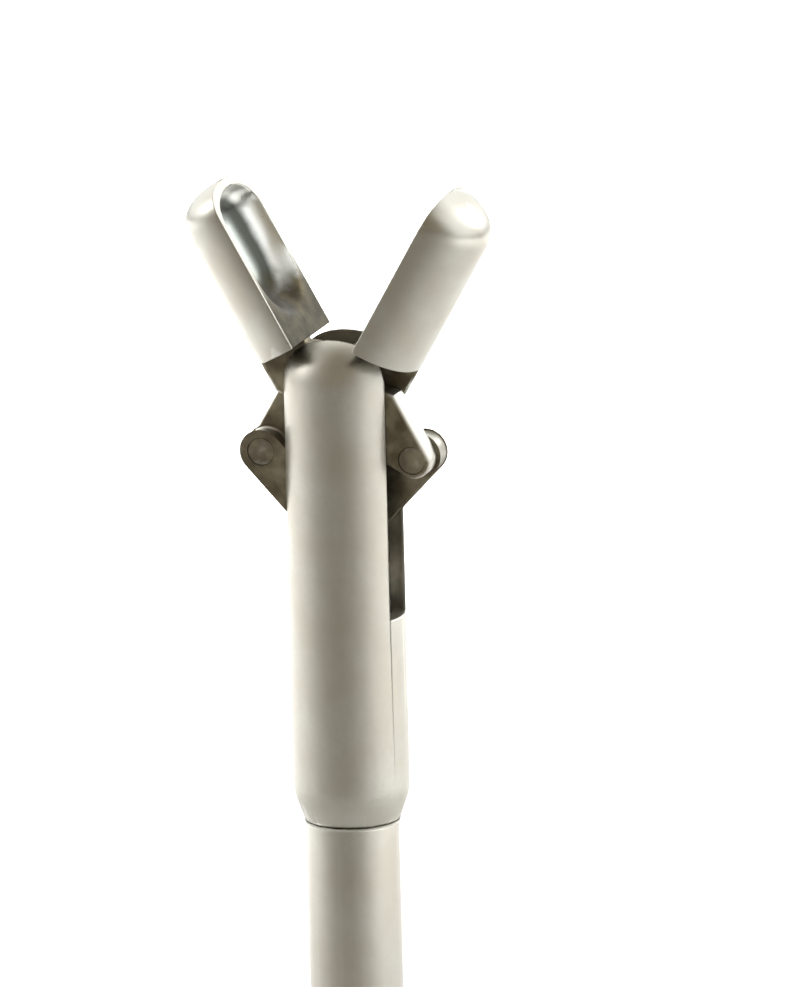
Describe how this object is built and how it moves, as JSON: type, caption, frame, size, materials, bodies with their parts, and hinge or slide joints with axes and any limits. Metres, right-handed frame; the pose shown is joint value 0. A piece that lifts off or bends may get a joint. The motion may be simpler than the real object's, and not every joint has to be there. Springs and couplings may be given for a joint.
{
  "type": "cup forceps working end",
  "caption": "Rigid double-action cup forceps head: spoon jaws on a slotted fork body, worked by an exposed scissor linkage and a pull rod in a thin shaft.",
  "frame": {"origin": "centre of the coupling collar's seating face", "axes": "+Z along the shaft towards the jaws, X across the opening jaws, Y along the jaw pivot"},
  "size_m": [0.0136, 0.0052, 0.0503],
  "materials": {
    "head_steel": "satin, fine bead-blasted grain",
    "jaw_steel": "satin, fine bead-blasted grain, smoother inside the cups",
    "shaft_steel": "satin drawn tube",
    "linkage_steel": "ground flat faces",
    "pin_steel": "turned and ground flush",
    "rod_steel": "smooth drawn rod",
    "seam_solder": "bright thin fillet",
    "bush_bronze": "turned",
    "liner_plastic": "matt white",
    "seal_rubber": "matt black"
  },
  "bodies": {
    "shaft": {"fork_body": "head_steel", "pivot_pin": "pin_steel", "shaft_tube": "shaft_steel", "solder_seam": "seam_solder", "guide_bush": "bush_bronze", "liner_sleeve": "liner_plastic", "shaft_ferrule": "shaft_steel", "rod_seal": "seal_rubber", "seal_retainer": "liner_plastic"},
    "rod": {"pull_rod": "rod_steel", "drive_block": "linkage_steel", "rod_pin": "pin_steel", "rod_dowel": "pin_steel", "ball_end": "rod_steel"},
    "jaw_left_body": {"jaw_left": "jaw_steel", "tail_pin_right": "pin_steel"},
    "jaw_right_body": {"jaw_right": "jaw_steel", "tail_pin_left": "pin_steel"},
    "link_left_body": {"link_left": "linkage_steel"},
    "link_right_body": {"link_right": "linkage_steel"}
  },
  "joints": [
    {"name": "rod_slide", "type": "slide", "parent": "shaft", "child": "rod", "axis": [0, 0, 1], "range_m": [-0.0024, 0]},
    {"name": "jaw_left_swing", "type": "hinge", "parent": "shaft", "child": "jaw_left_body", "pos_m": [0, 0, 0.032], "axis": [0, 1, 0], "range_deg": [0, 29.5]},
    {"name": "jaw_right_swing", "type": "hinge", "parent": "shaft", "child": "jaw_right_body", "pos_m": [0, 0, 0.032], "axis": [0, -1, 0], "range_deg": [0, 29.5]},
    {"name": "link_left_swing", "type": "hinge", "parent": "jaw_right_body", "child": "link_left_body", "pos_m": [-0.00341, 0, 0.0293], "axis": [0, 1, 0], "range_deg": [0, 53.4]},
    {"name": "link_right_swing", "type": "hinge", "parent": "jaw_left_body", "child": "link_right_body", "pos_m": [0.00341, 0, 0.0293], "axis": [0, -1, 0], "range_deg": [0, 53.4]}
  ],
  "couplings": [
    {"joint": "jaw_left_swing", "follows": "rod_slide", "rad_per_m": -214.38},
    {"joint": "jaw_right_swing", "follows": "rod_slide", "rad_per_m": -214.38},
    {"joint": "link_left_swing", "follows": "rod_slide", "rad_per_m": -387.94},
    {"joint": "link_right_swing", "follows": "rod_slide", "rad_per_m": -387.94}
  ]
}
